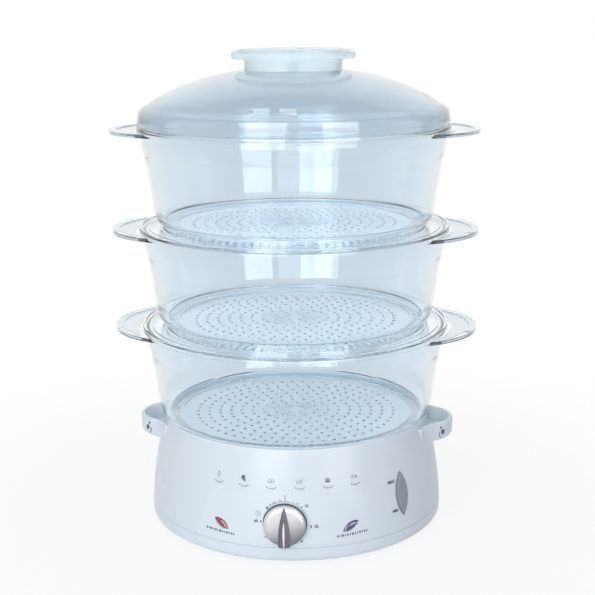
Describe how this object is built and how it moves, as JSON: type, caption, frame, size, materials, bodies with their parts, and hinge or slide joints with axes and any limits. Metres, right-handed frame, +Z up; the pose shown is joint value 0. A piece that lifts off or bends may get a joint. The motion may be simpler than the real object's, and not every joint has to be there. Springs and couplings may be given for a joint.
{
  "type": "electric food steamer",
  "caption": "Electric food steamer: round white base with a timer knob, lamps and level window, a stack of clear handled bowls with perforated floors, and a clear domed lid with a round knob.",
  "frame": {"origin": "on the table, under the axis of the base and bowls", "axes": "+Z up along the stack, -Y towards the front with the timer knob, +X to the right seen from the front"},
  "size_m": [0.31, 0.2707, 0.4],
  "materials": {
    "white_plastic": "moulded polypropylene, soft gloss, faint blue cast",
    "grey_plastic": "moulded polypropylene, fine matt",
    "clear_plastic": "clear moulded plastic with a cool blue cast, polished",
    "frosted_plastic": "milky translucent plastic, pale teal, satin",
    "satin_chrome": "plated plastic, satin face with polished ridge",
    "zinc_steel": "zinc plated",
    "heater_steel": "spun stainless steel",
    "shaft_brass": "turned",
    "foot_rubber": "matt moulded rubber",
    "silicone": "moulded silicone",
    "silicone_grey": "moulded silicone",
    "dark_plastic": "moulded, fine matt",
    "cream_plastic": "heat-proof moulding",
    "panel_film": "printed label film, satin",
    "red_lens": "tinted clear plastic, unlit",
    "blue_lens": "tinted clear plastic, unlit",
    "bulb_glass": "small neon lamp",
    "window_plastic": "grey-green smoked clear plastic",
    "wire_pvc": "PVC insulation"
  },
  "bodies": {
    "base": {"base_housing": "white_plastic", "bottom_cover": "white_plastic", "rubber_feet": "foot_rubber", "cover_screws": "zinc_steel", "water_inlet_left": "white_plastic", "water_inlet_right": "white_plastic", "water_tub": "grey_plastic", "tub_screws": "zinc_steel", "heating_plate": "heater_steel", "heater_seal": "silicone", "heater_clamp": "zinc_steel", "thermostat": "cream_plastic", "thermal_fuse": "cream_plastic", "timer_case": "cream_plastic", "timer_screws": "zinc_steel", "timer_bezel": "dark_plastic", "lamp_lens_red": "red_lens", "lamp_lens_blue": "blue_lens", "lamp_bulbs": "bulb_glass", "level_window": "window_plastic", "window_gasket": "silicone_grey", "control_panel": "panel_film", "cord_gland": "dark_plastic", "terminal_block": "cream_plastic", "wiring": "wire_pvc"},
    "sleeve": {"steam_sleeve": "grey_plastic"},
    "tray": {"drip_tray": "grey_plastic"},
    "bowl_one": {"bowl_lower": "clear_plastic", "bowl_floor_lower": "clear_plastic"},
    "bowl_two": {"bowl_middle": "clear_plastic", "bowl_floor_middle": "clear_plastic"},
    "bowl_three": {"bowl_upper": "clear_plastic", "bowl_floor_upper": "clear_plastic"},
    "cover": {"lid": "clear_plastic", "lid_knob": "frosted_plastic", "lid_knob_screw": "zinc_steel"},
    "timer": {"timer_knob": "satin_chrome", "timer_shaft": "shaft_brass"}
  },
  "joints": [
    {"name": "timer_turn", "type": "hinge", "parent": "base", "child": "timer", "pos_m": [0, -0.13, 0.035], "axis": [0, 1, 0], "range_deg": [0, 285]},
    {"name": "sleeve_lift", "type": "slide", "parent": "base", "child": "sleeve", "axis": [0, 0, 1], "range_m": [0, 0.005]},
    {"name": "tray_lift", "type": "slide", "parent": "base", "child": "tray", "axis": [0, 0, 1], "range_m": [0, 0.1]},
    {"name": "lower_bowl_lift", "type": "slide", "parent": "tray", "child": "bowl_one", "axis": [0, 0, 1], "range_m": [0, 0.1]},
    {"name": "middle_bowl_lift", "type": "slide", "parent": "bowl_one", "child": "bowl_two", "axis": [0, 0, 1], "range_m": [0, 0.1]},
    {"name": "upper_bowl_lift", "type": "slide", "parent": "bowl_two", "child": "bowl_three", "axis": [0, 0, 1], "range_m": [0, 0.1]},
    {"name": "lid_lift", "type": "slide", "parent": "bowl_three", "child": "cover", "axis": [0, 0, 1], "range_m": [0, 0.12]}
  ]
}
